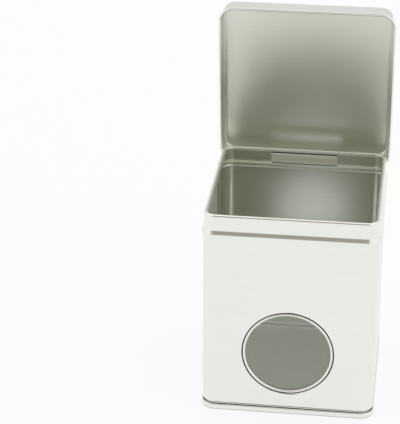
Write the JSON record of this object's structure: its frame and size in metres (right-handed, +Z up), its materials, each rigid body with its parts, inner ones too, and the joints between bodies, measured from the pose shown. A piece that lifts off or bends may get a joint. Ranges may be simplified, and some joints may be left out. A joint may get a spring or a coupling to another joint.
{
  "type": "hinged window tin",
  "caption": "Square tinplate tin with a round clear window in its front wall and a drawn lid that turns on its curled edge, held by a hook lanced out of the neck.",
  "frame": {"origin": "centre of the plane that the base seam stands on", "axes": "+Z up, -Y towards the window, +X to the right when the window is seen from the front; stored with the lid open"},
  "size_m": [0.0826, 0.0909, 0.174],
  "materials": {
    "tinplate": "bright tinplate, fine rolled grain",
    "clear_pet": "clear polyester sheet"
  },
  "bodies": {
    "tin": {"body": "tinplate", "base": "tinplate", "window_pane": "clear_pet", "window_ring": "tinplate"},
    "lid": {"lid": "tinplate"}
  },
  "joints": [
    {"name": "lid_hinge", "type": "hinge", "parent": "tin", "child": "lid", "pos_m": [0, 0.0406, 0.09266], "axis": [1, 0, 0], "range_deg": [0, 83]}
  ]
}
